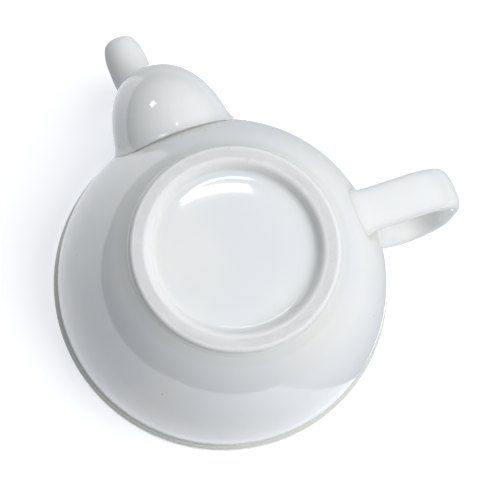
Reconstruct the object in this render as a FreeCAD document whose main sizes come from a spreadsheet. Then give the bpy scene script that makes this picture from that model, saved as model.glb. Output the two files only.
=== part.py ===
import FreeCAD, Part
import math
import os
import re

import Sketcher
from FreeCAD import Vector

# A squat porcelain teapot with a side handle, in millimetres.
# The pot's axis is Z, the foot stands on z = 0, the spout points along +X and the handle along +Y.
doc = FreeCAD.newDocument("Teapot")
sheet = doc.addObject("Spreadsheet::Sheet", "Sizes")

# Driving dimensions: name, value in millimetres or degrees, meaning
sizes = [
    ("belly_radius", 50.0, "outer radius of the belly at its widest"),
    ("belly_height", 44.5, "height of the widest place above the table"),
    ("side_curve", 55.0, "profile radius of the bowl's outside"),
    ("wall", 3.0, "wall of bowl and shoulder"),
    ("floor_thickness", 3.4, "thickness of the bowl floor"),
    ("seam_height", 45.2, "height of the luted seam between bowl and shoulder"),
    ("seam_bevel", 0.5, "bevel that makes the seam a fine line"),
    ("foot_height", 3.2, "height of the foot ring"),
    ("foot_taper", 1.8, "how far the foot ring narrows from its top to the table"),
    ("foot_width", 4.1, "width of the foot ring near the table"),
    ("foot_round", 0.8, "rounding at both sides of the bearing face"),
    ("recess_step", 4.0, "distance from the foot ring in to the floor of the recess"),
    ("recess_curve", 5.6, "profile radius between foot ring and recess"),
    ("base_sag", 0.4, "sag of the recess floor in the middle"),
    ("rim_proud", 1.1, "how far the rim band stands out beyond the belly"),
    ("rim_band", 4.4, "height of the rim band above the seam"),
    ("rim_round", 1.4, "rounding of the rim edge"),
    ("shoulder_rise", 2.2, "rise of the shoulder from rim to mouth"),
    ("mouth_radius", 37.0, "radius of the mouth around the lid"),
    ("lip_round", 0.9, "rounding of the mouth edge"),
    ("seat_depth", 2.6, "depth of the lid seat below the mouth edge"),
    ("seat_width", 3.6, "width of the ledge the lid rests on"),
    ("seat_thickness", 2.2, "thickness of that ledge"),
    ("lid_gap", 0.4, "clearance round the lid"),
    ("lid_edge", 2.4, "thickness of the lid at its edge"),
    ("lid_rise", 7.0, "rise of the lid from its edge to its middle"),
    ("lid_thickness", 2.8, "thickness of the lid's dome"),
    ("flange_gap", 0.6, "clearance round the lid flange"),
    ("flange_depth", 9.0, "depth of the lid flange"),
    ("flange_thickness", 2.4, "thickness of the lid flange"),
    ("vent_radius", 1.3, "radius of the vent hole in the lid"),
    ("vent_offset", 17.0, "distance of the vent hole from the axis"),
    ("knob_seat", 6.0, "radius of the knob where it sits on the lid"),
    ("knob_neck", 4.4, "radius of the knob's neck"),
    ("knob_flare", 3.0, "profile radius of the knob's flared foot"),
    ("knob_radius", 7.5, "radius of the knob's ball"),
    ("strainer_height", 29.0, "height of the strainer's middle"),
    ("strainer_radius", 9.5, "radius of the strainer disc"),
    ("hole_radius", 1.7, "radius of a strainer hole"),
    ("hole_pitch", 5.4, "distance from the middle hole to the holes round it"),
    ("spout_wall", 2.2, "wall of the spout"),
    ("root_out", -10.0, "spout root: distance outside the belly radius"),
    ("root_up", 28.8, "spout root: height of its middle"),
    ("root_pitch", 2.0, "spout root: rise of the spout there, degrees"),
    ("root_width", 37.4, "spout root: width"),
    ("root_depth", 33.2, "spout root: depth"),
    ("pouch_out", 2.2, "swollen part: distance outside the belly radius"),
    ("pouch_up", 30.4, "swollen part: height of its middle"),
    ("pouch_pitch", 22.0, "swollen part: rise of the spout there, degrees"),
    ("pouch_width", 33.0, "swollen part: width"),
    ("pouch_depth", 30.2, "swollen part: depth"),
    ("nose_out", 8.4, "nose of the swelling: distance outside the belly radius"),
    ("nose_up", 35.6, "nose of the swelling: height of its middle"),
    ("nose_pitch", 52.0, "nose of the swelling: rise of the spout there, degrees"),
    ("nose_width", 26.0, "nose of the swelling: width"),
    ("nose_depth", 23.4, "nose of the swelling: depth"),
    ("throat_out", 11.2, "throat: distance outside the belly radius"),
    ("throat_up", 43.6, "throat: height of its middle"),
    ("throat_pitch", 70.0, "throat: rise of the spout there, degrees"),
    ("throat_width", 17.0, "throat: width"),
    ("throat_depth", 15.2, "throat: depth"),
    ("neck_out", 15.4, "neck: distance outside the belly radius"),
    ("neck_up", 51.6, "neck: height of its middle"),
    ("neck_pitch", 56.0, "neck: rise of the spout there, degrees"),
    ("neck_width", 13.8, "neck: width"),
    ("neck_depth", 12.4, "neck: depth"),
    ("bend_out", 24.0, "bend: distance outside the belly radius"),
    ("bend_up", 58.4, "bend: height of its middle"),
    ("bend_pitch", 26.0, "bend: rise of the spout there, degrees"),
    ("bend_width", 13.2, "bend: width"),
    ("bend_depth", 11.8, "bend: depth"),
    ("tip_out", 37.0, "tip: distance outside the belly radius"),
    ("tip_up", 61.0, "tip: height of its middle"),
    ("tip_pitch", 8.0, "tip: rise of the spout there, degrees"),
    ("tip_width", 12.8, "tip: width"),
    ("tip_depth", 11.4, "tip: depth"),
    ("strap_width", 13.0, "width of the handle strap"),
    ("strap_thickness", 4.6, "thickness of the handle strap"),
    ("strap_round", 1.7, "rounding of the strap's long edges"),
    ("strap_sink", 12.0, "how far the strap's ends start inside the belly radius"),
    ("strap_low", 14.6, "height of the lower arm where it starts"),
    ("strap_reach", 22.8, "distance of the strap's outermost middle outside the belly radius"),
    ("low_rise", 8.0, "rise of the lower arm, degrees"),
    ("low_bend", 16.5, "middle radius of the lower bend"),
    ("grip_height", 10.0, "height of the upright part between the bends"),
    ("high_bend", 10.5, "middle radius of the upper bend"),
    ("high_fall", 40.0, "fall of the upper arm towards the pot, degrees"),
]
for row, (alias, value, meaning) in enumerate(sizes, 1):
    sheet.set(f"A{row}", alias)
    sheet.set(f"B{row}", str(value))
    sheet.set(f"C{row}", meaning)
    sheet.setAlias(f"B{row}", alias)
doc.recompute()
aliases = {alias for alias, value, meaning in sizes}

# Sizes that follow from the driving ones, as expressions
follow = {
    "side_x": "(belly_radius - side_curve)",
    "seam_step": "(seam_height - belly_height)",
    "seam_out": "(side_x + sqrt(side_curve ^ 2 - seam_step ^ 2))",
    "seam_in": "(side_x + sqrt((side_curve - wall) ^ 2 - seam_step ^ 2))",
    "foot_top": "(side_x + sqrt(side_curve ^ 2 - (belly_height - foot_height) ^ 2))",
    "foot_radius": "(foot_top - foot_taper)",
    "foot_inner": "(foot_radius - foot_width)",
    "recess_radius": "(foot_inner - recess_step)",
    "floor_z": "(foot_height + floor_thickness)",
    "floor_x": "(side_x + sqrt((side_curve - wall) ^ 2 - (belly_height - floor_z) ^ 2))",
    "sag_curve": "((recess_radius ^ 2 + base_sag ^ 2) / (2 * base_sag))",
    "rim_radius": "(belly_radius + rim_proud)",
    "rim_top": "(seam_height + rim_band)",
    "mouth_top": "(rim_top + shoulder_rise)",
    "seat_z": "(mouth_top - seat_depth)",
    "seat_radius": "(mouth_radius - seat_width)",
    "lid_radius": "(mouth_radius - lid_gap)",
    "lid_brim": "(seat_z + lid_edge)",
    "dome_curve": "((lid_radius ^ 2 + lid_rise ^ 2) / (2 * lid_rise))",
    "dome_z": "(lid_brim + lid_rise - dome_curve)",
    "knob_z": "(dome_z + sqrt(dome_curve ^ 2 - knob_seat ^ 2))",
    "flange_out": "(seat_radius - flange_gap)",
    "flange_in": "(flange_out - flange_thickness)",
    "hollow_z": "(dome_z + sqrt((dome_curve - lid_thickness) ^ 2 - flange_in ^ 2))",
    "neck_z": "(knob_z + sqrt(knob_flare ^ 2 - (knob_flare - knob_seat + knob_neck) ^ 2))",
    "ball_z": "(neck_z + sqrt(knob_radius ^ 2 - knob_neck ^ 2))",
    "low_sin": "sin(low_rise * 1deg)",
    "low_cos": "cos(low_rise * 1deg)",
    "fall_sin": "sin(high_fall * 1deg)",
    "fall_cos": "cos(high_fall * 1deg)",
    "strap_in": "(belly_radius - strap_sink)",
    "strap_out": "(belly_radius + strap_reach)",
    "low_y": "(strap_out - low_bend + low_bend * low_sin)",
    "low_z": "(strap_low + (low_y - strap_in) * low_sin / low_cos)",
    "grip_z": "(low_z + low_bend * low_cos)",
    "grip_top": "(grip_z + grip_height)",
    "high_y": "(strap_out - high_bend)",
    "fall_y": "(high_y - high_bend * fall_sin)",
    "fall_z": "(grip_top + high_bend * fall_cos)",
    "strap_high": "(fall_z - (fall_y - strap_in) * fall_sin / fall_cos)",
}


def tied(text):
    """The expression in text, with every size written as its cell in the sheet."""
    def swap(word):
        name = word.group(0)
        if name in follow:
            return tied(follow[name])
        return f"Sizes.{name}" if name in aliases else name
    return re.sub(r"[a-z_]+", swap, text)


def number(text):
    value = sheet.evalExpression(tied(text))
    return float(getattr(value, "Value", value))


def plane_of(body, role):
    return next(f for f in body.Origin.OriginFeatures if f.Role == role)


def new_body(label):
    body = doc.addObject("PartDesign::Body", label)
    body.Label = label
    return body


def new_sketch(body, name, role):
    sketch = body.newObject("Sketcher::SketchObject", name)
    sketch.AttachmentSupport = (plane_of(body, role), [""])
    sketch.MapMode = "FlatFace"
    return sketch


def bind(sketch, constraint, text):
    index = sketch.addConstraint(constraint)
    sketch.setExpression(f"Constraints[{index}]", tied(text))


def arc_between(start, end, radius, turn):
    """The short arc from start to end: turn is 1 where it runs counter-clockwise, -1 where clockwise."""
    chord = end - start
    height = math.sqrt(max(radius ** 2 - chord.Length ** 2 / 4, 0.0))
    centre = (start + end) * 0.5 + Vector(-chord.y, chord.x, 0).normalize() * height * turn
    first, last = (start, end) if turn > 0 else (end, start)
    angles = [math.atan2(p.y - centre.y, p.x - centre.x) for p in (first, last)]
    return Part.ArcOfCircle(Part.Circle(centre, Vector(0, 0, 1), radius), angles[0], angles[1])


def draw(sketch, outline, closed=True):
    """Draws an outline of (x, y, arc) corners: arc is None, or (radius, turn) for the side that follows."""
    corners = [Vector(number(x), number(y), 0) for x, y, arc in outline]
    count = len(outline) if closed else len(outline) - 1
    starts, ends = [], []
    for i in range(count):
        here, there = corners[i], corners[(i + 1) % len(corners)]
        arc = outline[i][2]
        if arc is None:
            side = sketch.addGeometry(Part.LineSegment(here, there), False)
            starts.append((side, 1))
            ends.append((side, 2))
        else:
            radius, turn = arc
            side = sketch.addGeometry(arc_between(here, there, number(radius), turn), False)
            starts.append((side, 1 if turn > 0 else 2))
            ends.append((side, 2 if turn > 0 else 1))
    for i in range(count - (0 if closed else 1)):
        sketch.addConstraint(Sketcher.Constraint("Coincident", *ends[i], *starts[(i + 1) % count]))
    places = list(starts) if closed else list(starts) + [ends[-1]]
    for (x, y, arc), (side, end) in zip(outline, places):
        if x == "0":
            sketch.addConstraint(Sketcher.Constraint("PointOnObject", side, end, -2))
        else:
            bind(sketch, Sketcher.Constraint("DistanceX", -1, 1, side, end, number(x)), x)
        if y == "0":
            sketch.addConstraint(Sketcher.Constraint("PointOnObject", side, end, -1))
        else:
            bind(sketch, Sketcher.Constraint("DistanceY", -1, 1, side, end, number(y)), y)
    for i in range(count):
        if outline[i][2] is not None:
            radius = outline[i][2][0]
            bind(sketch, Sketcher.Constraint("Radius", starts[i][0], number(radius)), radius)


def lathe(label, outline):
    """A piece turned about the pot's axis from a half outline in the XZ plane."""
    body = new_body(label)
    sketch = new_sketch(body, label + "_outline", "XZ_Plane")
    draw(sketch, outline)
    turned = body.newObject("PartDesign::Revolution", label + "_turned")
    turned.Profile = sketch
    turned.ReferenceAxis = (sketch, ["V_Axis"])
    turned.Angle = 360
    return body


# The bowl's wall before the strainer's port is cut
bowl_shell = lathe("bowl_shell", [
    ("0", "floor_z", None),
    ("floor_x", "floor_z", ("side_curve - wall", 1)),
    ("seam_in", "seam_height", None),
    ("seam_out", "seam_height", ("side_curve", -1)),
    ("foot_top", "foot_height", None),
    ("recess_radius", "foot_height", ("sag_curve", -1)),
    ("0", "foot_height - base_sag", None),
])

# Everything inside the pot's outside: spout and handle end on it
envelope = lathe("envelope", [
    ("0", "foot_height", None),
    ("foot_top", "foot_height", ("side_curve", 1)),
    ("seam_out", "seam_height", None),
    ("rim_radius - seam_bevel", "seam_height", None),
    ("rim_radius", "seam_height + seam_bevel", None),
    ("rim_radius", "rim_top - rim_round", ("rim_round", 1)),
    ("rim_radius - rim_round", "rim_top", None),
    ("mouth_radius + lip_round", "mouth_top", None),
    ("0", "mouth_top", None),
])

foot_ring = lathe("foot_ring", [
    ("foot_inner + foot_round", "0", None),
    ("foot_radius - foot_round", "0", ("foot_round", 1)),
    ("foot_radius", "foot_round", None),
    ("foot_top", "foot_height", None),
    ("recess_radius", "foot_height", ("recess_curve", -1)),
    ("foot_inner", "foot_round", ("foot_round", 1)),
])

shoulder = lathe("shoulder", [
    ("seam_in", "seam_height", None),
    ("rim_radius - seam_bevel", "seam_height", None),
    ("rim_radius", "seam_height + seam_bevel", None),
    ("rim_radius", "rim_top - rim_round", ("rim_round", 1)),
    ("rim_radius - rim_round", "rim_top", None),
    ("mouth_radius + lip_round", "mouth_top", ("lip_round", 1)),
    ("mouth_radius", "mouth_top - lip_round", None),
    ("mouth_radius", "seat_z", None),
    ("seat_radius", "seat_z", None),
    ("seat_radius", "seat_z - seat_thickness", None),
    ("seam_in", "rim_top - wall", None),
])

lid_dome = lathe("lid_dome", [
    ("flange_in", "seat_z", None),
    ("lid_radius", "seat_z", None),
    ("lid_radius", "lid_brim", ("dome_curve", 1)),
    ("knob_seat", "knob_z", None),
    ("0", "knob_z", None),
    ("0", "knob_z - lid_thickness", None),
    ("flange_in", "hollow_z", None),
])

lid_flange = lathe("lid_flange", [
    ("flange_in", "seat_z - flange_depth", None),
    ("flange_out", "seat_z - flange_depth", None),
    ("flange_out", "seat_z", None),
    ("flange_in", "seat_z", None),
])

lid_knob = lathe("lid_knob", [
    ("0", "knob_z", None),
    ("knob_seat", "knob_z", ("knob_flare", -1)),
    ("knob_neck", "neck_z", ("knob_radius", 1)),
    ("knob_radius", "ball_z", ("knob_radius", 1)),
    ("0", "ball_z + knob_radius", None),
])


def oval_section(body, part, shrink):
    """One oval cross-section of the spout, square to its run, drawn in by shrink all round."""
    sketch = new_sketch(body, body.Label + "_" + part, "YZ_Plane")
    place = Vector(0, number(part + "_up"), number("belly_radius + " + part + "_out"))
    turn = FreeCAD.Rotation(Vector(-1, 0, 0), number(part + "_pitch"))
    sketch.AttachmentOffset = FreeCAD.Placement(place, turn)
    sketch.setExpression("AttachmentOffset.Base.y", tied(part + "_up"))
    sketch.setExpression("AttachmentOffset.Base.z", tied("belly_radius + " + part + "_out"))
    sketch.setExpression("AttachmentOffset.Rotation.Angle", tied(part + "_pitch"))
    width = f"{part}_width - 2 * {shrink}"
    depth = f"{part}_depth - 2 * {shrink}"
    middle = Vector(0, 0, 0)
    oval = sketch.addGeometry(Part.Ellipse(middle, number(width) / 2, number(depth) / 2), False)
    sketch.exposeInternalGeometry(oval)
    sketch.addConstraint(Sketcher.Constraint("Coincident", oval, 3, -1, 1))
    sketch.addConstraint(Sketcher.Constraint("PointOnObject", oval + 1, 1, -1))
    bind(sketch, Sketcher.Constraint("Distance", oval + 1, number(width)), width)
    bind(sketch, Sketcher.Constraint("Distance", oval + 2, number(depth)), depth)
    return sketch


def spout_loft(label, shrink):
    body = new_body(label)
    ovals = [oval_section(body, part, shrink) for part in spout_parts]
    doc.recompute()
    loft = body.newObject("PartDesign::AdditiveLoft", label + "_loft")
    loft.Profile = ovals[0]
    loft.Sections = [(oval, [""]) for oval in ovals[1:]]
    return body


def cut(label, base, tool):
    piece = doc.addObject("Part::Cut", label)
    piece.Label = label
    piece.Base = base
    piece.Tool = tool
    return piece


spout_parts = ["root", "pouch", "nose", "throat", "neck", "bend", "tip"]
spout_form = spout_loft("spout_form", "0")
spout_bore = spout_loft("spout_bore", "spout_wall")
spout_tube = cut("spout_tube", spout_form, spout_bore)
spout = cut("spout", spout_tube, envelope)

# The handle's strap runs out along the lower arm, round the bend and back along the upper arm
strap = new_body("strap")
strap_path = new_sketch(strap, "strap_path", "YZ_Plane")
draw(strap_path, [
    ("strap_in", "strap_low", None),
    ("low_y", "low_z", ("low_bend", 1)),
    ("strap_out", "grip_z", None),
    ("strap_out", "grip_top", ("high_bend", 1)),
    ("high_y", "grip_top + high_bend", ("high_bend", 1)),
    ("fall_y", "fall_z", None),
    ("strap_in", "strap_high", None),
], closed=False)
strap_section = new_sketch(strap, "strap_section", "XZ_Plane")
strap_start = Vector(0, number("strap_low"), -number("strap_in"))
strap_lean = FreeCAD.Rotation(Vector(1, 0, 0), number("low_rise"))
strap_section.AttachmentOffset = FreeCAD.Placement(strap_start, strap_lean)
strap_section.setExpression("AttachmentOffset.Base.y", tied("strap_low"))
strap_section.setExpression("AttachmentOffset.Base.z", tied("0 - strap_in"))
strap_section.setExpression("AttachmentOffset.Rotation.Angle", tied("low_rise"))
half, edge = "strap_width / 2", "strap_thickness / 2"
half_in, edge_in = "(strap_width / 2 - strap_round)", "(strap_thickness / 2 - strap_round)"
draw(strap_section, [
    (f"0 - {half_in}", f"0 - {edge}", None),
    (half_in, f"0 - {edge}", ("strap_round", 1)),
    (half, f"0 - {edge_in}", None),
    (half, edge_in, ("strap_round", 1)),
    (half_in, edge, None),
    (f"0 - {half_in}", edge, ("strap_round", 1)),
    (f"0 - {half}", edge_in, None),
    (f"0 - {half}", f"0 - {edge_in}", ("strap_round", 1)),
])
doc.recompute()
strap_pipe = strap.newObject("PartDesign::AdditivePipe", "strap_pipe")
strap_pipe.Profile = strap_section
strap_pipe.Spine = strap_path
handle = cut("handle", strap, envelope)

# The strainer is a disc of the bowl's wall with seven holes, and the bowl has a port of its size
port = doc.addObject("Part::Cylinder", "port")
port.Placement = FreeCAD.Placement(Vector(0, 0, 0), FreeCAD.Rotation(Vector(0, 1, 0), 90))
port.setExpression("Radius", tied("strainer_radius"))
port.setExpression("Height", tied("belly_radius"))
port.setExpression("Placement.Base.z", tied("strainer_height"))
bowl = cut("bowl", bowl_shell, port)
disc = doc.addObject("Part::Common", "disc")
disc.Base = bowl_shell
disc.Tool = port
holes = []
for i in range(7):
    hole = doc.addObject("Part::Cylinder", f"hole_{i}")
    hole.Placement = port.Placement
    hole.setExpression("Radius", tied("hole_radius"))
    hole.setExpression("Height", tied("belly_radius"))
    pitch = "0" if i == 0 else "hole_pitch"
    hole.setExpression("Placement.Base.y", tied(f"{pitch} * cos({60 * i} * 1deg)"))
    hole.setExpression("Placement.Base.z", tied(f"strainer_height + {pitch} * sin({60 * i} * 1deg)"))
    holes.append(hole)
piercing = doc.addObject("Part::MultiFuse", "piercing")
piercing.Shapes = holes
strainer = cut("strainer", disc, piercing)

# The lid's vent, on the side away from the spout
vent = doc.addObject("Part::Cylinder", "vent")
vent.setExpression("Radius", tied("vent_radius"))
vent.setExpression("Height", tied("lid_rise + lid_edge"))
vent.setExpression("Placement.Base.x", tied("0 - vent_offset"))
vent.setExpression("Placement.Base.z", tied("seat_z"))
lid = cut("lid", lid_dome, vent)
doc.recompute()

# Nothing is written unless every object and every piece is sound
pieces = [bowl, foot_ring, shoulder, strainer, spout, handle, lid, lid_flange, lid_knob]
for item in doc.Objects:
    if "Invalid" in item.State or "Error" in item.State:
        raise RuntimeError(f"{item.Name} did not recompute")
for piece in pieces:
    if piece.Shape.isNull() or not piece.Shape.isValid() or len(piece.Shape.Solids) != 1:
        raise RuntimeError(f"{piece.Label} is not one sound solid")
os.makedirs("parts", exist_ok=True)
for piece in pieces:
    piece.Shape.exportStep(f"parts/{piece.Label}.step")
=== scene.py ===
import math

import bmesh
import bpy
import numpy as np
from mathutils import Matrix, Vector


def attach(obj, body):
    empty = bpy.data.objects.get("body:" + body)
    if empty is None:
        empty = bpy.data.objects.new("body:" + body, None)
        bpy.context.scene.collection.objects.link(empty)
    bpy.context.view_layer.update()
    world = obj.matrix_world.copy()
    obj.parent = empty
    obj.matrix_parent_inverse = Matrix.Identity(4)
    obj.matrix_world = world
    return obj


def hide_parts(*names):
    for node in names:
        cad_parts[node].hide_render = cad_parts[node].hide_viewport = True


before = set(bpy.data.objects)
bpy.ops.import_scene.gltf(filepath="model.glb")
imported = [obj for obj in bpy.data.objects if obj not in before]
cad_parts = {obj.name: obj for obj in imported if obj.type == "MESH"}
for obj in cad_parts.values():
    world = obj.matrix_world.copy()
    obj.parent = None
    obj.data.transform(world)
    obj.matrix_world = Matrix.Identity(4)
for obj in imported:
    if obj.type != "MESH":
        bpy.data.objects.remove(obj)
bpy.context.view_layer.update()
mm = 0.001
print("frame loaded:", sorted(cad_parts))

# outside of the pot in mm, shared by the pieces that end on it
pot = {"bowlX": -5.0, "bowlZ": 44.5, "bowlCurve": 55.0,  # middle and radius of the bowl's arc
       "seamZ": 45.2, "rimRadius": 51.1, "rimTop": 49.6, "overlap": 1.0}
meshing = {"mergeGap": 0.002, "sliver": 0.001,  # mm
           "turnedCrisp": 50, "loftedCrisp": 70,  # edges past this many degrees stay crisp
           "arcRoom": 0.49, "arcStep": 9, "arcLeast": 3}


def outsideGap(points):
    # distance of points (mm) from the pot's outside, negative inside the wall
    r = np.hypot(points[:, 0], points[:, 1])
    z = points[:, 2]
    bowl = np.hypot(r - pot["bowlX"], z - pot["bowlZ"]) - pot["bowlCurve"]
    bowl = np.where(z > pot["seamZ"] + pot["overlap"], np.inf, bowl)
    out = r - pot["rimRadius"]
    side = np.maximum(pot["seamZ"] - z, z - pot["rimTop"])
    rim = np.hypot(np.maximum(out, 0), np.maximum(side, 0)) + np.minimum(np.maximum(out, side), 0)
    return np.minimum(bowl, rim)


def newObject(name, data):
    obj = bpy.data.objects.new(name, data)
    bpy.context.scene.collection.objects.link(obj)
    return obj


def meshFrom(name, verts, faces, smooth=True):
    mesh = bpy.data.meshes.new(name)
    mesh.from_pydata([tuple(v) for v in verts], [], faces)
    mesh.polygons.foreach_set("use_smooth", [smooth] * len(mesh.polygons))
    return newObject(name, mesh)


def plainMesh(obj):
    # the object's mesh with its modifiers applied
    bpy.context.view_layer.update()
    graph = bpy.context.evaluated_depsgraph_get()
    return bpy.data.meshes.new_from_object(obj.evaluated_get(graph), depsgraph=graph)


def closeUp(obj, crisp):
    # merge doubles, turn faces outwards, keep true corners crisp
    bm = bmesh.new()
    bm.from_mesh(obj.data)
    bmesh.ops.remove_doubles(bm, verts=bm.verts, dist=meshing["mergeGap"] * mm)
    bmesh.ops.dissolve_degenerate(bm, edges=bm.edges, dist=meshing["sliver"] * mm)
    bmesh.ops.recalc_face_normals(bm, faces=bm.faces)
    bm.to_mesh(obj.data)
    bm.free()
    obj.data.set_sharp_from_angle(angle=math.radians(crisp))
    return obj


def shortTurn(first, last):
    # angle of the first direction and the shorter turn from it to the last
    start = math.atan2(first[1], first[0])
    return start, (math.atan2(last[1], last[0]) - start + math.pi) % (2 * math.pi) - math.pi


def arcPoints(middle, radius, start, turn, steps):
    angles = [start + turn * k / steps for k in range(steps + 1)]
    return [middle + radius * np.array([math.cos(a), math.sin(a)]) for a in angles]


def filletedProfile(corners, closed=False):
    # corners are (radius, height, rounding) in mm; each rounding becomes a short arc
    count = len(corners)
    line = []
    for i, (x, z, rounding) in enumerate(corners):
        here = np.array([x, z], float)
        isEnd = not closed and i in (0, count - 1)
        if rounding <= 0 or isEnd:
            line.append(here)
            continue
        before = np.array(corners[i - 1][:2], float) - here
        after = np.array(corners[(i + 1) % count][:2], float) - here
        room = min(np.linalg.norm(before), np.linalg.norm(after)) * meshing["arcRoom"]
        before, after = before / np.linalg.norm(before), after / np.linalg.norm(after)
        half = math.acos(max(-1.0, min(1.0, float(before @ after)))) / 2
        setBack = min(rounding / math.tan(half), room)
        radius = setBack * math.tan(half)
        middle = here + (before + after) / np.linalg.norm(before + after) * radius / math.sin(half)
        start, turn = shortTurn(here + before * setBack - middle, here + after * setBack - middle)
        steps = max(meshing["arcLeast"], int(abs(turn) / math.radians(meshing["arcStep"])))
        line += arcPoints(middle, radius, start, turn, steps)
    return line


def buildTurningTree():
    # sweeps a profile, given as a mesh line, round the axis
    tree = bpy.data.node_groups.new("turnedPiece", "GeometryNodeTree")
    for name, way, kind in (("Geometry", "INPUT", "Geometry"), ("Steps", "INPUT", "Int"),
                            ("Glaze", "INPUT", "Material"), ("Geometry", "OUTPUT", "Geometry")):
        tree.interface.new_socket(name, in_out=way, socket_type="NodeSocket" + kind)

    def add(kind, settings=None, links=None):
        node = tree.nodes.new(kind)
        for key, value in (settings or {}).items():
            setattr(node, key, value)
        for key, value in (links or {}).items():
            if isinstance(value, bpy.types.NodeSocket):
                tree.links.new(value, node.inputs[key])
            else:
                node.inputs[key].default_value = value
        return node

    def sums(operation, a, b=0.0):
        return add("ShaderNodeMath", {"operation": operation}, {0: a, 1: b}).outputs[0]

    given = add("NodeGroupInput")
    profile, steps = given.outputs["Geometry"], given.outputs["Steps"]
    size = add("GeometryNodeAttributeDomainSize", {"component": "MESH"}, {"Geometry": profile})
    columns = sums("ADD", steps, 1)
    grid = add("GeometryNodeMeshGrid", None, {
        "Size X": 1.0, "Size Y": 1.0, "Vertices X": size.outputs["Point Count"], "Vertices Y": columns})
    index = add("GeometryNodeInputIndex").outputs[0]
    row = sums("FLOOR", sums("DIVIDE", sums("ADD", index, 0.5), columns))
    column = sums("SUBTRACT", index, sums("MULTIPLY", row, columns))
    angle = sums("MULTIPLY", sums("DIVIDE", column, steps), 2 * math.pi)
    place = add("GeometryNodeInputPosition").outputs[0]
    sample = add("GeometryNodeSampleIndex", {"data_type": "FLOAT_VECTOR", "domain": "POINT"},
                 {"Geometry": profile, "Value": place, "Index": row}).outputs[0]
    parts = add("ShaderNodeSeparateXYZ", None, {0: sample}).outputs
    turned = add("ShaderNodeCombineXYZ", None, {
        "X": sums("MULTIPLY", parts["X"], sums("COSINE", angle)),
        "Y": sums("MULTIPLY", parts["X"], sums("SINE", angle)),
        "Z": parts["Z"]}).outputs[0]
    moved = add("GeometryNodeSetPosition", None, {"Geometry": grid.outputs["Mesh"], "Position": turned})
    merged = add("GeometryNodeMergeByDistance", None,
                 {"Geometry": moved.outputs[0], "Distance": meshing["mergeGap"] * mm})
    smooth = add("GeometryNodeSetShadeSmooth", None, {"Geometry": merged.outputs[0], "Shade Smooth": True})
    real = add("GeometryNodeRealizeInstances", None, {"Geometry": smooth.outputs[0]})
    glazed = add("GeometryNodeSetMaterial", None,
                 {"Geometry": real.outputs[0], "Material": given.outputs["Glaze"]})
    add("NodeGroupOutput", None, {"Geometry": glazed.outputs[0]})
    return tree


turningTree = buildTurningTree()


def turnPiece(name, line, material, steps):
    # line is a list of (radius, height) in mm
    points = [(float(p[0]) * mm, 0.0, float(p[1]) * mm) for p in line]
    mesh = bpy.data.meshes.new(name + "Profile")
    mesh.from_pydata(points, [(i, i + 1) for i in range(len(points) - 1)], [])
    holder = newObject(name + "Profile", mesh)
    spin = holder.modifiers.new("turn", "NODES")
    spin.node_group = turningTree
    given = {"Steps": steps, "Glaze": material}
    for socket in turningTree.interface.items_tree:
        if socket.in_out == "INPUT" and socket.name in given:
            spin[socket.identifier] = given[socket.name]
    done = plainMesh(holder)
    done.name = name
    holder.modifiers.remove(spin)
    bpy.data.objects.remove(holder)
    return closeUp(newObject(name, done), meshing["turnedCrisp"])


class Wire:
    def __init__(self, paint, socket):
        self.paint = paint
        self.socket = socket

    def sums(self, operation, a, b):
        return self.paint.node("ShaderNodeMath", {"operation": operation}, {0: a, 1: b})

    def __add__(self, other):
        return self.sums("ADD", self, other)

    def __radd__(self, other):
        return self.sums("ADD", other, self)

    def __sub__(self, other):
        return self.sums("SUBTRACT", self, other)

    def __rsub__(self, other):
        return self.sums("SUBTRACT", other, self)

    def __mul__(self, other):
        return self.sums("MULTIPLY", self, other)

    def __rmul__(self, other):
        return self.sums("MULTIPLY", other, self)

    def __truediv__(self, other):
        return self.sums("DIVIDE", self, other)

    def __rtruediv__(self, other):
        return self.sums("DIVIDE", other, self)

    def __pow__(self, other):
        return self.sums("POWER", self, other)

    def __rpow__(self, other):
        return self.sums("POWER", other, self)

    def above(self, low, high, bottom=0.0, top=1.0):
        # eased from bottom at low to top at high
        return self.paint.node("ShaderNodeMapRange", {"interpolation_type": "SMOOTHSTEP"},
                               {"Value": self, "From Min": low, "From Max": high,
                                "To Min": bottom, "To Max": top})

    def twin(self, out):
        # another output of the same node
        return Wire(self.paint, self.socket.node.outputs[out])


class Paint:
    def __init__(self, tree):
        self.tree = tree
        tree.nodes.clear()

    def node(self, kind, settings=None, inputs=None, out=0):
        node = self.tree.nodes.new(kind)
        for key, value in (settings or {}).items():
            setattr(node, key, value)
        for key, value in (inputs or {}).items():
            if isinstance(value, Wire):
                self.tree.links.new(value.socket, node.inputs[key])
            else:
                node.inputs[key].default_value = value
        return Wire(self, node.outputs[out]) if node.outputs else None

    def noise(self, where, scale, detail, rough=0.5):
        return self.node("ShaderNodeTexNoise", None,
                         {"Vector": where, "Scale": scale, "Detail": detail, "Roughness": rough})

    def blend(self, share, first, second):
        # colours: first where share is 0, second where it is 1
        return self.node("ShaderNodeMix", {"data_type": "RGBA"}, {0: share, 6: first, 7: second}, out=2)


def newPaint(name):
    material = bpy.data.materials.new(name)
    material.use_nodes = True
    return material, Paint(material.node_tree)


def hypot(a, b):
    return (a * a + b * b) ** 0.5


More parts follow.
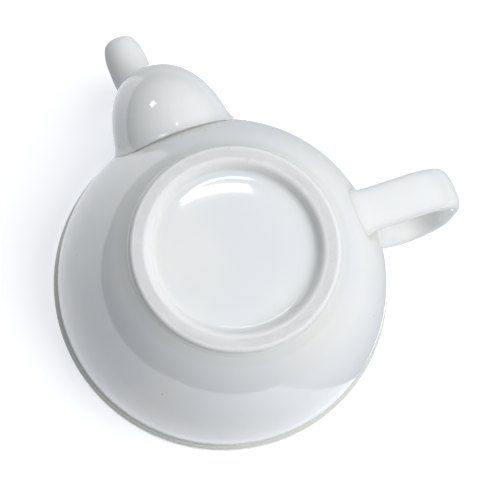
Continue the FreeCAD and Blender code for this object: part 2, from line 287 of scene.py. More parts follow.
# noises are scale, detail and roughness; edges are where a mask starts and where it is full
glaze = {
    "white": (0.80, 0.815, 0.83, 1), "cloud": (0.845, 0.845, 0.83, 1), "pooled": (0.72, 0.73, 0.66, 1),
    # the tip colour is lighter than the white glaze: partly worn glaze, partly painted light that brightens the
    # spout's shaded tip
    "speck": (0.30, 0.24, 0.18, 1), "wornAndPaintedLight": (0.89, 0.885, 0.87, 1),
    "cloudNoise": (26.0, 3.0), "cloudEdge": (0.38, 0.70),
    "driftNoise": (140.0, 2.0), "driftLow": 0.45, "driftSpan": 0.9,
    "speckScale": 105.0, "speckSize": (0.012, 0.034), "speckPick": (0.80, 0.82), "speckShare": 0.75,
    "rippleNoise": (60.0, 1.5), "peelNoise": (620.0, 2.0), "peelShare": 0.03, "speckDent": 0.5,
    "bump": 0.35, "bumpDepth": 0.25,  # mm
    "rough": 0.055, "roughSpread": 0.07, "roughNoise": (90.0, 3.0), "wornRough": 0.42, "wornAndPaintedLightShare": 0.85,
    "ior": 1.56, "coat": 0.5, "coatRough": 0.03,
    "milk": 0.08, "milkRadius": (0.004, 0.0036, 0.003), "milkScale": 0.4,  # light that sinks in
}
bareClay = {
    "colour": (0.80, 0.80, 0.795, 1), "grit": (0.73, 0.72, 0.70, 1),
    "grainNoise": (1500.0, 4.0, 0.7), "gritNoise": (520.0, 2.0, 0.6), "gritEdge": (0.60, 0.72),
    "gritShare": 0.7, "bump": 0.4, "bumpDepth": 0.08, "rough": 0.55, "roughSpread": 0.25, "ior": 1.45,
}


def makeGlaze(name, pools=None, bares=None, wornAndPaintedLight=None):
    # pools, bares and the spout-tip mask take (paint, x, y, z) in mm and return a mask; the tip mask marks real
    # wear (rougher glaze, thinner coat) and also painted light (a lighter colour)
    g = glaze
    material, paint = newPaint(name)
    where = paint.node("ShaderNodeTexCoord", out="Object")
    parts = paint.node("ShaderNodeSeparateXYZ", None, {0: where})
    x, y, z = (parts.twin(i) * (1 / mm) for i in range(3))
    cloud = paint.noise(where, *g["cloudNoise"])
    colour = paint.blend(cloud.above(*g["cloudEdge"]), g["white"], g["cloud"])
    if pools:
        drift = g["driftLow"] + g["driftSpan"] * paint.noise(where, *g["driftNoise"])
        colour = paint.blend(pools(paint, x, y, z) * drift, colour, g["pooled"])
    near = paint.node("ShaderNodeTexVoronoi", None, {"Vector": where, "Scale": g["speckScale"]}, out="Distance")
    pick = paint.node("ShaderNodeSeparateColor", None, {0: near.twin("Color")})  # a few of the cells
    speck = (1 - near.above(*g["speckSize"])) * pick.above(*g["speckPick"])
    colour = paint.blend(speck * g["speckShare"], colour, g["speck"])
    ripple = paint.noise(where, *g["rippleNoise"])
    peel = paint.noise(where, *g["peelNoise"])
    rough = g["rough"] + g["roughSpread"] * paint.noise(where, *g["roughNoise"])
    coat = g["coat"]
    # spout tip: real wear makes it rougher with less coat; its lighter colour is painted light, a lift for the
    # tip that the pouch shades from the fill lamp
    if wornAndPaintedLight:
        wornAndPaintedLightMask = wornAndPaintedLight(paint, x, y, z)
        rough = rough + g["wornRough"] * wornAndPaintedLightMask
        coat = coat * (1 - wornAndPaintedLightMask)
        colour = paint.blend(wornAndPaintedLightMask * g["wornAndPaintedLightShare"], colour, g["wornAndPaintedLight"])
    bump = paint.node("ShaderNodeBump", None, {
        "Strength": g["bump"], "Distance": g["bumpDepth"] * mm,
        "Height": ripple + g["peelShare"] * peel - g["speckDent"] * speck})
    surface = paint.node("ShaderNodeBsdfPrincipled", None, {
        "Base Color": colour, "Roughness": rough, "Normal": bump, "IOR": g["ior"],
        "Coat Weight": coat, "Coat Roughness": g["coatRough"], "Subsurface Weight": g["milk"],
        "Subsurface Radius": g["milkRadius"], "Subsurface Scale": g["milkScale"]})
    if bares:
        bare = makeBare(paint, where)
        surface = paint.node("ShaderNodeMixShader", None, {0: bares(paint, x, y, z), 1: surface, 2: bare})
    paint.node("ShaderNodeOutputMaterial", None, {"Surface": surface})
    return material


def makeBare(paint, where):
    # dry clay where the glaze is wiped off
    c = bareClay
    grain, grit = paint.noise(where, *c["grainNoise"]), paint.noise(where, *c["gritNoise"])
    colour = paint.blend(grit.above(*c["gritEdge"]) * c["gritShare"], c["colour"], c["grit"])
    bump = paint.node("ShaderNodeBump", None, {
        "Strength": c["bump"], "Distance": c["bumpDepth"] * mm, "Height": grain + grit})
    return paint.node("ShaderNodeBsdfPrincipled", None, {
        "Base Color": colour, "Roughness": c["rough"] + c["roughSpread"] * grain, "Normal": bump,
        "IOR": c["ior"]})


# glaze pooled round rings on the axis: radius, height, spread (mm) and share
poolRings = {"bowlFoot": (32.6, 3.9, 2.6, 0.35), "footCove": (22.6, 2.7, 3.4, 0.15),
             "footCrease": (31.4, 3.4, 2.6, 0.3), "rimSeam": (50.6, 45.2, 1.1, 0.8),
             "mouth": (36.8, 49.3, 1.2, 0.5), "knob": (6.2, 58.5, 1.8, 0.8)}
# glaze pooled along ovals at the roots: height, half width, half height, spread (mm) and share
poolOvals = {"spout": (28.9, 17.9, 16.2, 2.6, 0.5), "lowArm": (15.2, 7.6, 3.6, 2.4, 0.7),
             "highArm": (46.0, 7.6, 4.6, 2.4, 0.7)}
poolCore = {"ring": 0.3, "oval": 0.2}
poolSide = {"spout": (20.0, 26.0), "handle": (25.0, 30.0)}
rootShare = 0.45
# where bare clay, and the spout tip's worn glaze with its painted lighter colour, start and where they are
# full, in mm
bareEdge = {"footZ": (1.3, 2.9), "footInner": (22.6, 24.6), "footWander": 0.5, "footNoise": (240.0, 3.0),
            "ledgeOuter": (36.2, 36.8), "ledgeInner": (33.3, 33.6), "ledgeZ": (48.9, 49.1),
            "lidZ": (49.3, 49.6), "flangeZ": (40.7, 41.2), "tipX": (66.0, 78.0)}


def ringPool(x, y, z, pool):
    radius, height, spread, share = pool
    return (1 - hypot(hypot(x, y) - radius, z - height).above(poolCore["ring"], spread)) * share


def ovalPool(across, z, pool):
    height, halfWide, halfTall, spread, share = pool
    away = hypot(across / halfWide, (z - height) / halfTall) - 1
    size = 0.5 * (halfWide + halfTall)
    return (1 - ((away * away) ** 0.5 * size).above(poolCore["oval"], spread)) * share


def bowlPools(paint, x, y, z):
    total = ringPool(x, y, z, poolRings["bowlFoot"])
    total = total + ovalPool(y, z, poolOvals["spout"]) * x.above(*poolSide["spout"])
    for arm in ("lowArm", "highArm"):
        total = total + ovalPool(x, z, poolOvals[arm]) * y.above(*poolSide["handle"])
    return total.above(0.0, 1.0)


def footPools(paint, x, y, z):
    return ringPool(x, y, z, poolRings["footCove"]) + ringPool(x, y, z, poolRings["footCrease"])


def footBare(paint, x, y, z):
    # the bearing face is wiped clean, with a wandering edge
    where = paint.node("ShaderNodeTexCoord", out="Object")
    wander = paint.noise(where, *bareEdge["footNoise"]) * bareEdge["footWander"]
    return (1 - (z + wander).above(*bareEdge["footZ"])) * hypot(x, y).above(*bareEdge["footInner"])


def rimPools(paint, x, y, z):
    return ringPool(x, y, z, poolRings["rimSeam"]) + ringPool(x, y, z, poolRings["mouth"])


def rimBare(paint, x, y, z):
    # the ledge under the lid is left dry
    r = hypot(x, y)
    within = (1 - r.above(*bareEdge["ledgeOuter"])) * r.above(*bareEdge["ledgeInner"])
    return within * z.above(*bareEdge["ledgeZ"])


def rootPools(paint, x, y, z):
    return paint.node("ShaderNodeAttribute", {"attribute_name": "rootPool"}, out="Fac") * rootShare


# the spout's tip past the neck: worn glaze, painted lighter as painted light
def tipWornAndPaintedLight(paint, x, y, z):
    return x.above(*bareEdge["tipX"])


def lidPools(paint, x, y, z):
    return ringPool(x, y, z, poolRings["knob"])


def lidBare(paint, x, y, z):
    return 1 - z.above(*bareEdge["lidZ"])


def flangeBare(paint, x, y, z):
    return 1 - z.above(*bareEdge["flangeZ"])


bowlGlaze = makeGlaze("bowlGlaze", pools=bowlPools)
footGlaze = makeGlaze("footGlaze", pools=footPools, bares=footBare)
rimGlaze = makeGlaze("rimGlaze", pools=rimPools, bares=rimBare)
spoutGlaze = makeGlaze("spoutGlaze", pools=rootPools, wornAndPaintedLight=tipWornAndPaintedLight)
handleGlaze = makeGlaze("handleGlaze", pools=rootPools)
lidGlaze = makeGlaze("lidGlaze", pools=lidPools, bares=lidBare)
flangeGlaze = makeGlaze("flangeGlaze", bares=flangeBare)
strainerGlaze = makeGlaze("strainerGlaze")
print("glazes mixed")


def wear(node, material):
    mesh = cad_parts[node].data
    mesh.materials.clear()
    mesh.materials.append(material)


wear("bowl", bowlGlaze)
wear("strainer", strainerGlaze)


def settle(piece, body, slotName, *nodes):
    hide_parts(*nodes)
    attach(piece, body)
    print("piece:", piece.name, len(piece.data.polygons), "faces")


# foot ring with the glazed skin of the recess
foot = {"outer": 29.7, "inner": 25.0, "edge": 2.15, "recess": 21.4, "height": 3.2, "skin": 0.06,
        "sag": 0.4, "sagPower": 6, "floorShare": 0.985, "floorSteps": 40, "coveX": 23.2, "cove": 3.0,
        "wallLean": 0.30, "crease": 2.4, "creaseSteps": 12, "spread": 33.0, "lap": 0.03, "lapSteps": 8,
        "tuck": 0.9, "sink": 1.0, "steps": 256}


def creaseLine():
    # a hollow arc off the foot's wall, then a thin lap along the bowl's outside
    f = foot
    bowlMiddle, bowlCurve = np.array([pot["bowlX"], pot["bowlZ"]]), pot["bowlCurve"]
    wall = np.array([f["wallLean"], 1.0]) / math.hypot(f["wallLean"], 1.0)
    out = np.array([wall[1], -wall[0]])
    start = np.array([f["outer"], 0.0]) + out * f["crease"] - bowlMiddle
    along = start @ wall
    climb = -along - math.sqrt(along ** 2 - start @ start + (bowlCurve + f["crease"]) ** 2)
    hollow = start + wall * climb  # the arc's middle, seen from the bowl's
    first, turn = shortTurn(-out, -hollow)
    line = arcPoints(hollow + bowlMiddle, f["crease"], first, turn, f["creaseSteps"])
    lapStart = math.atan2(hollow[1], hollow[0])
    lapEnd = -math.acos((f["spread"] - pot["bowlX"]) / bowlCurve)
    for k in range(1, f["lapSteps"] + 1):
        share = k / f["lapSteps"]
        a, lap = lapStart + (lapEnd - lapStart) * share, f["lap"] * (1 - 2 * share)
        line.append(bowlMiddle + (bowlCurve + lap) * np.array([math.cos(a), math.sin(a)]))
    return line


def makeFoot():
    f = foot
    middle = f["height"] - f["sag"] - f["skin"]
    floor = [(r, middle + f["sag"] * (r / f["recess"]) ** f["sagPower"])
             for r in np.linspace(0, f["recess"] * f["floorShare"], f["floorSteps"])]
    crease = creaseLine()
    line = floor[:-1] + filletedProfile([
        (*floor[-1], 0),
        (f["coveX"], f["height"] - f["skin"], f["cove"]),
        (f["inner"], 0.0, f["edge"]),
        (f["outer"], 0.0, f["edge"]),
        (*crease[0], 0),
    ]) + crease[1:]
    # the back of the skin lies inside the floor of the bowl
    line += [(f["spread"] - f["tuck"], line[-1][1] + f["sink"]), (f["recess"], f["height"] + f["sink"]),
             (0, f["height"] + f["sink"] - f["sag"])]
    piece = turnPiece("footRing", line, footGlaze, f["steps"])
    settle(piece, "pot", "foot", "foot_ring")


makeFoot()

# shoulder: rim band, sloping top and lid ledge
shoulder = {"inside": 46.99, "seamRound": 0.2, "bevel": 0.5, "bevelRound": 0.45, "rimRound": 1.5,
            "slopeX": 45.2, "slopeZ": 50.28, "slopeRound": 30.0,
            "mouth": 37.0, "mouthTop": 51.97, "mouthRound": 1.0, "seat": 49.2, "seatRound": 0.35,
            "ledge": 33.4, "ledgeUnder": 47.0, "ledgeRound": 0.5, "under": 46.6, "underRound": 1.2,
            "steps": 256}


def makeShoulder():
    s = shoulder
    seam, rim = pot["seamZ"], pot["rimRadius"]
    line = filletedProfile([
        (s["inside"], seam, 0),
        (rim - s["bevel"], seam, s["seamRound"]),
        (rim, seam + s["bevel"], s["bevelRound"]),
        (rim, pot["rimTop"], s["rimRound"]),
        (s["slopeX"], s["slopeZ"], s["slopeRound"]),
        (s["mouth"], s["mouthTop"], s["mouthRound"]),
        (s["mouth"], s["seat"], s["seatRound"]),
        (s["ledge"], s["seat"], s["ledgeRound"]),
        (s["ledge"], s["ledgeUnder"], s["ledgeRound"]),
        (s["inside"], s["under"], s["underRound"]),
    ], closed=True)
    line.append(line[0])
    piece = turnPiece("shoulderRim", line, rimGlaze, s["steps"])
    settle(piece, "pot", "glaze", "shoulder")


makeShoulder()

# lid with its vent and flange
lid = {"radius": 36.6, "seat": 49.2, "brim": 51.62, "brimRound": 1.1, "edgeRound": 0.6, "innerRound": 0.4,
       "dome": 99.18, "domeZ": -40.58, "domeInset": 1.3, "domeSteps": 34, "thick": 2.8,
       "hollow": 30.4, "hollowRound": 1.6, "hollowInset": 6.0, "hollowGap": 0.5, "hollowSteps": 26,
       "ventRadius": 1.3, "ventX": -17.0, "ventZ": 55.0, "ventDepth": 20.0, "ventSides": 48,
       "flangeOut": 32.8, "flangeIn": 30.4, "flangeLow": 40.2, "flangeRound": 0.9, "steps": 192}


def domeHeight(dome, r):
    return lid["domeZ"] + math.sqrt(dome ** 2 - r ** 2)


def domeLine(dome, start, end, steps):
    return [(r, domeHeight(dome, r)) for r in np.linspace(start, end, steps)]


def pierceVent(piece):
    d = lid
    drill = bpy.data.meshes.new("ventDrill")
    bm = bmesh.new()
    bmesh.ops.create_cone(bm, cap_ends=True, segments=d["ventSides"], radius1=d["ventRadius"] * mm,
                          radius2=d["ventRadius"] * mm, depth=d["ventDepth"] * mm,
                          matrix=Matrix.Translation((d["ventX"] * mm, 0, d["ventZ"] * mm)))
    bm.to_mesh(drill)
    bm.free()
    bit = newObject("ventDrill", drill)
    pierce = piece.modifiers.new("vent", "BOOLEAN")
    pierce.operation = "DIFFERENCE"
    pierce.solver = "EXACT"
    pierce.object = bit
    pierced = plainMesh(piece)
    piece.modifiers.remove(pierce)
    piece.data = pierced
    bpy.data.objects.remove(bit)
    pierced.materials.clear()
    pierced.materials.append(lidGlaze)
    pierced.polygons.foreach_set("use_smooth", [True] * len(pierced.polygons))
    pierced.set_sharp_from_angle(angle=math.radians(meshing["turnedCrisp"]))


def makeLid():
    d = lid
    inner = d["dome"] - d["thick"]
    inset = d["hollow"] - d["hollowInset"]
    top = domeLine(d["dome"], 0, d["radius"] - d["domeInset"], d["domeSteps"])
    line = top[:-2] + filletedProfile([
        (*top[-2], 0),
        (d["radius"], d["brim"], d["brimRound"]),
        (d["radius"], d["seat"], d["edgeRound"]),
        (d["hollow"], d["seat"], d["innerRound"]),
        (d["hollow"], domeHeight(inner, d["hollow"]), d["hollowRound"]),
        (inset, domeHeight(inner, inset), 0),
    ]) + domeLine(inner, inset - d["hollowGap"], 0, d["hollowSteps"])
    piece = turnPiece("lidDome", line, lidGlaze, d["steps"])
    pierceVent(piece)
    settle(piece, "lid_body", "glaze", "lid")

    line = filletedProfile([
        (d["flangeIn"], d["flangeLow"], d["flangeRound"]),
        (d["flangeOut"], d["flangeLow"], d["flangeRound"]),
        (d["flangeOut"], d["seat"], 0),
        (d["flangeIn"], d["seat"], 0),
    ], closed=True)
    line.append(line[0])
    settle(turnPiece("lidFlange", line, flangeGlaze, d["steps"]), "lid_body", "glaze", "lid_flange")


makeLid()

# knob: a ball on a short waisted neck
knob = {"seat": 6.5, "seatZ": 58.42, "bed": 0.06, "sink": 0.6, "neck": 4.4, "neckZ": 60.77, "neckRound": 2.4,
        "ball": 7.5, "ballZ": 67.15, "ballCut": 0.6, "ballSteps": 30, "steps": 96}


def makeKnob():
    k = knob
    cut = math.asin(k["ballCut"])
    low = k["seatZ"] - k["sink"]
    waist = filletedProfile([
        (k["seat"], k["seatZ"] - k["bed"], 0),
        (k["neck"], k["neckZ"], k["neckRound"]),
        (k["ball"] * math.cos(cut), k["ballZ"] - k["ball"] * k["ballCut"], 0),
    ])
    ball = [(k["ball"] * math.cos(a), k["ballZ"] + k["ball"] * math.sin(a))
            for a in np.linspace(-cut, math.pi / 2, k["ballSteps"])]
    line = [(0, low), (k["seat"], low)] + waist[:-1] + ball[:-1] + [(0.0, k["ballZ"] + k["ball"])]
    settle(turnPiece("lidKnob", line, lidGlaze, k["steps"]), "lid_body", "glaze", "lid_knob")


makeKnob()

# spout: ovals lofted along its run, ending in the bowl's wall and in a rounded lip
spout = {
    "out": [-10.0, 2.2, 8.4, 11.2, 15.4, 24.0, 37.0],
    "up": [28.8, 30.4, 35.6, 43.6, 51.6, 58.4, 61.0],
    "pitch": [2.0, 22.0, 52.0, 70.0, 56.0, 26.0, 8.0],
    "width": [37.4, 33.0, 26.0, 17.0, 13.8, 13.2, 12.8],
    "depth": [33.2, 30.2, 23.4, 15.2, 12.4, 11.8, 11.4],
    "belly": 50.0, "wall": 2.2, "sink": 1.2, "flare": 0.8, "flareReach": 2.4, "flarePower": 2, "pool": 2.6,
    "tipRound": 2.7, "tipReach": 8.5, "tipPinch": 1.0, "tipGrow": 1.9, "tipBlunt": 0.999,
    "columns": 128, "rows": 150, "rowEase": 1.4, "lipRings": 9, "scan": 900,
}


def naturalSpline(knots, values):
    # cubic spline with free ends through values at knots
    n = len(knots)
    h = np.diff(knots)
    a = np.zeros((n, n))
    b = np.zeros(n)
    a[0, 0] = a[-1, -1] = 1
    for i in range(1, n - 1):
        a[i, i - 1], a[i, i], a[i, i + 1] = h[i - 1], 2 * (h[i - 1] + h[i]), h[i]
        b[i] = 3 * ((values[i + 1] - values[i]) / h[i] - (values[i] - values[i - 1]) / h[i - 1])
    c = np.linalg.solve(a, b)

    def at(t):
        i = np.clip(np.searchsorted(knots, t, side="right") - 1, 0, n - 2)
        s = t - knots[i]
        slope = (values[i + 1] - values[i]) / h[i] - h[i] * (2 * c[i] + c[i + 1]) / 3
        return values[i] + slope * s + c[i] * s ** 2 + (c[i + 1] - c[i]) / (3 * h[i]) * s ** 3
    return at


def stitchRows(rows, columns, closedRows=False):
    # quads between neighbouring rings of equal size
    faces = []
    for i in range(rows if closedRows else rows - 1):
        for j in range(columns):
            k = (j + 1) % columns
            n = (i + 1) % rows
            faces.append((i * columns + j, i * columns + k, n * columns + k, n * columns + j))
    return faces


def sunkAt(stations, goal, columns, sink, pointsAt):
    # for each column, the first station where it is sunk into the pot's wall, or else the goal
    found = np.full(columns, goal)
    searching = np.ones(columns, bool)
    for t in stations:
        hit = searching & (outsideGap(pointsAt(np.full(columns, t))) < -sink)
        found[hit] = t
        searching &= ~hit
    return found


def rootFlare(points, settings):
    # how far the glaze spreads where a piece meets the pot
    gap = np.clip(outsideGap(points), 0, settings["flareReach"])
    return settings["flare"] * (1 - gap / settings["flareReach"]) ** settings["flarePower"]


def pushOut(points, middle, push):
    away = points - middle
    return points + away / np.linalg.norm(away, axis=1, keepdims=True) * push[:, None]


def poolAttribute(piece, reach):
    # share of pooled glaze by the distance from the pot
    co = np.zeros(len(piece.data.vertices) * 3, np.float32)
    piece.data.vertices.foreach_get("co", co)
    gap = outsideGap(co.reshape(-1, 3).astype(float) / mm)
    mask = np.clip(1 - gap / reach, 0, 1) ** 2
    layer = piece.data.attributes.new("rootPool", "FLOAT", "POINT")
    layer.data.foreach_set("value", mask.astype(np.float32))


def finishLoft(piece, settings, material):
    closeUp(piece, meshing["loftedCrisp"])
    poolAttribute(piece, settings["pool"])
    piece.data.materials.append(material)
    return piece


def makeSpout():
    s = spout
    out, up = np.array(s["out"]) + s["belly"], np.array(s["up"])
    knots = np.concatenate([[0], np.cumsum(np.hypot(np.diff(out), np.diff(up)))])
    alongX, alongZ = naturalSpline(knots, out), naturalSpline(knots, up)
    pitch = naturalSpline(knots, np.radians(s["pitch"]))
    width, depth = naturalSpline(knots, np.array(s["width"])), naturalSpline(knots, np.array(s["depth"]))
    theta = np.linspace(0, 2 * math.pi, s["columns"], endpoint=False)

    def ring(t, shrink):
        # t holds one station for each column
        p = pitch(t)
        a, b = width(t) / 2 - shrink, depth(t) / 2 - shrink
        u, v = a * np.cos(theta), b * np.sin(theta)
        return np.stack([alongX(t) - np.sin(p) * v, u, alongZ(t) + np.cos(p) * v], 1)

    def rootOf(shrink):
        stations = np.linspace(knots[-1], 0, s["scan"])
        return sunkAt(stations, 0.0, s["columns"], s["sink"], lambda t: ring(t, shrink))

    def intoTip(t):
        return np.clip((t - end + s["tipReach"]) / s["tipReach"], 0, 1)

    lip = (s["wall"] + s["tipPinch"] - s["tipRound"]) / 2
    end = knots[-1] - lip + s["tipGrow"]
    ease = np.linspace(0, 1, s["rows"]) ** s["rowEase"]
    outerRoot, boreRoot = rootOf(0.0), rootOf(s["wall"])
    rings = []
    for e in ease:
        t = outerRoot + (end - outerRoot) * e
        points = ring(t, 0.0)
        middle = np.stack([alongX(t), np.zeros_like(t), alongZ(t)], 1)
        drawIn = s["tipRound"] * (1 - np.sqrt(1 - intoTip(t) ** 2 * s["tipBlunt"]))
        rings.append(pushOut(points, middle, rootFlare(points, s) - drawIn))
    outerEnd, boreEnd = rings[-1], ring(np.full(s["columns"], end), s["wall"] + s["tipPinch"])
    forward = np.array([math.cos(pitch(end)), 0, math.sin(pitch(end))])
    for k in range(1, s["lipRings"]):
        a = math.pi * k / s["lipRings"]
        rings.append((outerEnd + boreEnd) / 2 + (outerEnd - boreEnd) / 2 * math.cos(a)
                     + forward * lip * math.sin(a))
    for e in ease[::-1]:
        t = boreRoot + (end - boreRoot) * e
        rings.append(ring(t, s["wall"] + s["tipPinch"] * intoTip(t) ** 2))
    verts = np.concatenate(rings) * mm
    piece = meshFrom("spoutTube", verts, stitchRows(len(rings), s["columns"], closedRows=True))
    settle(finishLoft(piece, s, spoutGlaze), "pot", "glaze", "spout")


makeSpout()

# handle: a strap that follows two bends and spreads where it meets the pot
handle = {"width": 13.2, "thick": 5.2, "square": 2.5, "columns": 96, "startY": 38.0, "startZ": 14.6,
          "reach": 72.8, "rise": 8.0, "lowBend": 16.5, "grip": 10.0, "highBend": 10.5, "fall": 40.0,
          "runSteps": 60, "gripSteps": 30, "evenSteps": 1400, "soften": 30,
          "sink": 1.2, "flare": 0.9, "flareReach": 3.6, "flarePower": 2.4, "pool": 3.0,
          "rows": 220, "gather": 0.5, "scan": 700}


def strapPath():
    h = handle
    rise, fall = math.radians(h["rise"]), math.radians(h["fall"])
    lowY = h["reach"] - h["lowBend"] + h["lowBend"] * math.sin(rise)
    lowZ = h["startZ"] + (lowY - h["startY"]) * math.tan(rise)
    gripZ = lowZ + h["lowBend"] * math.cos(rise)
    topZ = gripZ + h["grip"]

    def bend(radius, middleZ, first, last):
        a = np.linspace(first, last, h["runSteps"])
        return np.stack([h["reach"] - radius + radius * np.cos(a), middleZ + radius * np.sin(a)], 1)

    lowArc = bend(h["lowBend"], gripZ, rise - math.pi / 2, 0)
    highArc = bend(h["highBend"], topZ, 0, math.pi / 2 + fall)
    lastY, lastZ = highArc[-1]
    endZ = lastZ - (lastY - h["startY"]) * math.tan(fall)
    runs = [np.linspace((h["startY"], h["startZ"]), (lowY, lowZ), h["runSteps"]), lowArc,
            np.linspace((h["reach"], gripZ), (h["reach"], topZ), h["gripSteps"]), highArc,
            np.linspace((lastY, lastZ), (h["startY"], endZ), h["runSteps"])]
    line = np.concatenate([r[1:] if i else r for i, r in enumerate(runs)])
    length = np.concatenate([[0], np.cumsum(np.hypot(*np.diff(line, axis=0).T))])
    even = np.linspace(0, length[-1], h["evenSteps"])
    path = np.stack([np.interp(even, length, line[:, k]) for k in (0, 1)], 1)
    # a running mean softens the changes of bend; the ends are mirrored to keep their places
    n = h["soften"]
    head = path[:1] + (path[:1] - path[n:0:-1])
    tail = path[-1:] + (path[-1:] - path[-2:-n - 2:-1])
    padded = np.concatenate([head, path, tail])
    mean = np.ones(2 * n + 1) / (2 * n + 1)
    path = np.stack([np.convolve(padded[:, k], mean, "valid") for k in (0, 1)], 1)
    return even, path


def makeHandle():
    h = handle
    columns = h["columns"]
    even, path = strapPath()
    tangent = np.gradient(path, axis=0)
    tangent /= np.linalg.norm(tangent, axis=1, keepdims=True)
    turn = np.linspace(0, 2 * math.pi, columns, endpoint=False)
    power = 2 / h["square"]
    section = np.stack([h["width"] / 2 * np.sign(np.cos(turn)) * np.abs(np.cos(turn)) ** power,
                        h["thick"] / 2 * np.sign(np.sin(turn)) * np.abs(np.sin(turn)) ** power], 1)

    def place(t):
        y, z = np.interp(t, even, path[:, 0]), np.interp(t, even, path[:, 1])
        ty, tz = np.interp(t, even, tangent[:, 0]), np.interp(t, even, tangent[:, 1])
        points = np.stack([section[:, 0], y + tz * section[:, 1], z - ty * section[:, 1]], 1)
        middle = np.stack([np.zeros(columns), y, z], 1)
        return points, middle

    ends = []
    for goal in (0.0, even[-1]):
        stations = np.linspace(even[-1] / 2, goal, h["scan"])
        ends.append(sunkAt(stations, goal, columns, h["sink"], lambda t: place(t)[0]))
    row = np.linspace(0, 1, h["rows"])
    row = (1 - h["gather"]) * row + h["gather"] * (3 * row ** 2 - 2 * row ** 3)  # closer at the roots
    rings = []
    for share in row:
        points, middle = place(ends[0] + (ends[1] - ends[0]) * share)
        rings.append(pushOut(points, middle, rootFlare(points, h)))
    faces = stitchRows(len(rings), columns)
    verts = list(np.concatenate(rings) * mm)
    for i in (0, len(rings) - 1):
        verts.append(np.mean(rings[i], axis=0) * mm)
        hub = len(verts) - 1
        faces += [(i * columns + j, i * columns + (j + 1) % columns, hub) for j in range(columns)]
    piece = meshFrom("handleStrap", verts, faces)
    settle(finishLoft(piece, h, handleGlaze), "pot", "glaze", "handle")


makeHandle()

# camera: its axes, its place in mm and its lens
view = {"right": (-0.3657, 0.9251, -0.1022), "up": (0.9110, 0.3333, -0.2430),
        "back": (-0.1907, -0.1820, -0.9647), "place": (-95.04, -86.90, -484.2),
        "lens": 128.6, "sensor": 36.0, "nearest": 0.01, "farthest": 50}
right, up, back = (Vector(view[k]) for k in ("right", "up", "back"))
# stage: a floor for upright views and the table top the pot lies on, each seen from one side
stage = {"floor": (0.82, 0.805, 0.785, 1), "floorReach": 3.0,
         "table": (0.765, 0.77, 0.785, 1), "tableGlow": 0.58, "tableDrop": 0.25, "tableReach": 250.0,
         "tableEdge": 30.0, "spoutX": 45.0, "spoutY": -8.0, "mottle": 0.985, "mottleNoise": (3.0, 4.0)}


def makeSheet(name, corners, colour, glow):
    sheet = meshFrom(name, corners, [tuple(range(len(corners)))], smooth=False)
    material, paint = newPaint(name + "Paint")
    where = paint.node("ShaderNodeTexCoord", out="Object")
    darker = tuple(c * stage["mottle"] for c in colour[:3]) + (1,)
    tint = paint.blend(paint.noise(where, *stage["mottleNoise"]), colour, darker)
    matte = paint.node("ShaderNodeBsdfDiffuse", None, {"Color": tint})
    if glow:
        lit = paint.node("ShaderNodeEmission", None, {"Color": tint, "Strength": glow})
        matte = paint.node("ShaderNodeAddShader", None, {0: matte, 1: lit})
    clear = paint.node("ShaderNodeBsdfTransparent")
    fromBehind = paint.node("ShaderNodeNewGeometry", out="Backfacing")
    mixed = paint.node("ShaderNodeMixShader", None, {0: fromBehind, 1: matte, 2: clear})
    paint.node("ShaderNodeOutputMaterial", None, {"Surface": mixed})
    sheet.data.materials.append(material)
    # the sheets catch shadows; the light on the pot comes from the lamps and the sky
    sheet.visible_shadow = sheet.visible_diffuse = False
    sheet.visible_glossy = glow > 0


def makeStage():
    g = stage
    wide = g["floorReach"]
    square = [(-wide, -wide, 0), (wide, -wide, 0), (wide, wide, 0), (-wide, wide, 0)]
    makeSheet("floor", square, g["floor"], 0.0)
    # the table top meets the rim on the shadow side and stops short of the spout, which hangs over its edge
    reach, edge, spoutX, spoutY = (g[k] * mm for k in ("tableReach", "tableEdge", "spoutX", "spoutY"))
    level = (pot["rimTop"] + g["tableDrop"]) * mm
    outline = [(-reach, -reach), (-reach, edge), (spoutX, edge),
               (spoutX, spoutY), (reach, spoutY), (reach, -reach)]
    makeSheet("table", [(x, y, level) for x, y in outline], g["table"], g["tableGlow"])


makeStage()

# lamps by the camera, placed by its right, up and back; some give only shade, others only gloss
lights = {
    "key": {"toward": (0.12, 0.60, 0.80), "far": 0.75, "wide": 0.14, "tall": 0.045, "power": 0.30},
    "glint": {"toward": (-0.45, 0.76, 0.46), "far": 0.75, "wide": 0.11, "tall": 0.08, "power": 0.17},
    "fill": {"toward": (0.71, -0.09, 0.70), "far": 0.80, "wide": 0.85, "tall": 0.85, "power": 6.4,
             "glossy": False},
    "sheen": {"toward": (0.71, -0.09, 0.70), "far": 0.80, "wide": 0.55, "tall": 0.65, "power": 0.5,
              "diffuse": False},
    "wash": {"toward": (0.12, 0.97, 0.16), "far": 0.80, "wide": 0.60, "tall": 0.60, "power": 1.25,
             "glossy": False},
}
# lamps above the pot, for upright views
overhead = {
    "window": {"place": (-0.30, -0.32, 1.25), "wide": 0.55, "tall": 0.55, "power": 6.4, "glossy": False},
    "pane": {"place": (-0.30, -0.32, 1.25), "wide": 0.55, "tall": 0.55, "power": 2.4, "diffuse": False},
    "bounce": {"place": (0.34, 0.30, 1.20), "wide": 0.70, "tall": 0.70, "power": 2.0},
}
aim = {"lights": (0, 0, 0.025), "overhead": (0, 0, 0.035)}
sky = {"colour": (0.90, 0.945, 1.0, 1), "toward": (0.02, 0.50, 0.86), "from": -0.15, "to": 0.80,
       "dark": 0.02, "bright": 0.41, "above": 0.66, "aboveFrom": 0.05, "aboveTo": 0.35}
backdrop = {"colour": (0.98, 0.99, 1.0, 1), "from": 0.10, "to": 0.75, "low": 0.66, "high": 1.08}


def cameraWay(shares):
    return (right * shares[0] + up * shares[1] + back * shares[2]).normalized()


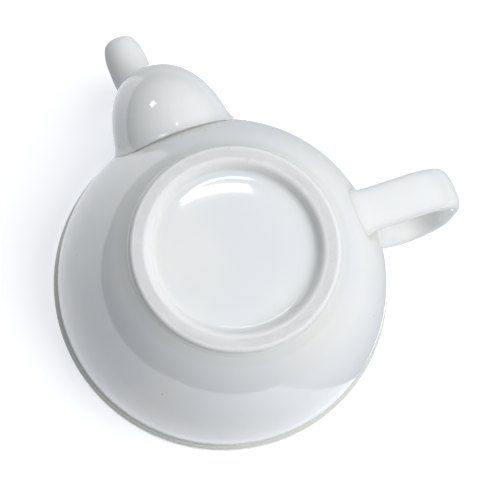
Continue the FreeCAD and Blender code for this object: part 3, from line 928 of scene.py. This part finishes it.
def addLamp(name, place, target, settings):
    lamp = bpy.data.lights.new(name, "AREA")
    lamp.shape = "RECTANGLE"
    lamp.size, lamp.size_y, lamp.energy = settings["wide"], settings["tall"], settings["power"]
    holder = newObject(name, lamp)
    facing = (place - target).normalized().to_track_quat("Z", "Y")
    holder.matrix_world = Matrix.Translation(place) @ facing.to_matrix().to_4x4()
    holder.visible_glossy = settings.get("glossy", True)
    holder.visible_diffuse = settings.get("diffuse", True)


def makeLights():
    target = Vector(aim["lights"])
    for name, settings in lights.items():
        addLamp(name, target + cameraWay(settings["toward"]) * settings["far"], target, settings)
    target = Vector(aim["overhead"])
    for name, settings in overhead.items():
        addLamp(name, Vector(settings["place"]), target, settings)


def makeWorld():
    # a graded sky lights the pot, and the camera sees a plain backdrop
    world = bpy.data.worlds.new("studio")
    world.use_nodes = True
    paint = Paint(world.node_tree)
    ray = paint.node("ShaderNodeTexCoord", out="Generated")
    facing = paint.node("ShaderNodeVectorMath", {"operation": "DOT_PRODUCT"},
                        {0: ray, 1: cameraWay(sky["toward"])}, out="Value")
    height = paint.node("ShaderNodeSeparateXYZ", None, {0: ray}, out="Z")
    graded = facing.above(sky["from"], sky["to"], sky["dark"], sky["bright"])
    upper = height.above(sky["aboveFrom"], sky["aboveTo"])
    strength = paint.node("ShaderNodeMix", None, {0: upper, 2: graded, 3: sky["above"]})
    lit = paint.node("ShaderNodeBackground", None, {"Color": sky["colour"], "Strength": strength})
    pale = height.above(backdrop["from"], backdrop["to"], backdrop["low"], backdrop["high"])
    plain = paint.node("ShaderNodeBackground", None, {"Color": backdrop["colour"], "Strength": pale})
    seen = paint.node("ShaderNodeLightPath", out="Is Camera Ray")
    both = paint.node("ShaderNodeMixShader", None, {0: seen, 1: lit, 2: plain})
    paint.node("ShaderNodeOutputWorld", None, {"Surface": both})
    bpy.context.scene.world = world
    bpy.context.scene.view_settings.view_transform = "Standard"
    bpy.context.scene.view_settings.look = "None"


def makeCamera():
    lens = bpy.data.cameras.new("photoCamera")
    lens.lens, lens.sensor_width, lens.sensor_fit = view["lens"], view["sensor"], "HORIZONTAL"
    lens.clip_start, lens.clip_end = view["nearest"], view["farthest"]
    camera = newObject("photoCamera", lens)
    turn = Matrix((right, up, back)).transposed().to_4x4()
    camera.matrix_world = Matrix.Translation(Vector(view["place"]) * mm) @ turn
    bpy.context.scene.camera = camera


makeLights()
makeWorld()
makeCamera()
print("stage, lights and camera set")

bpy.context.view_layer.update()
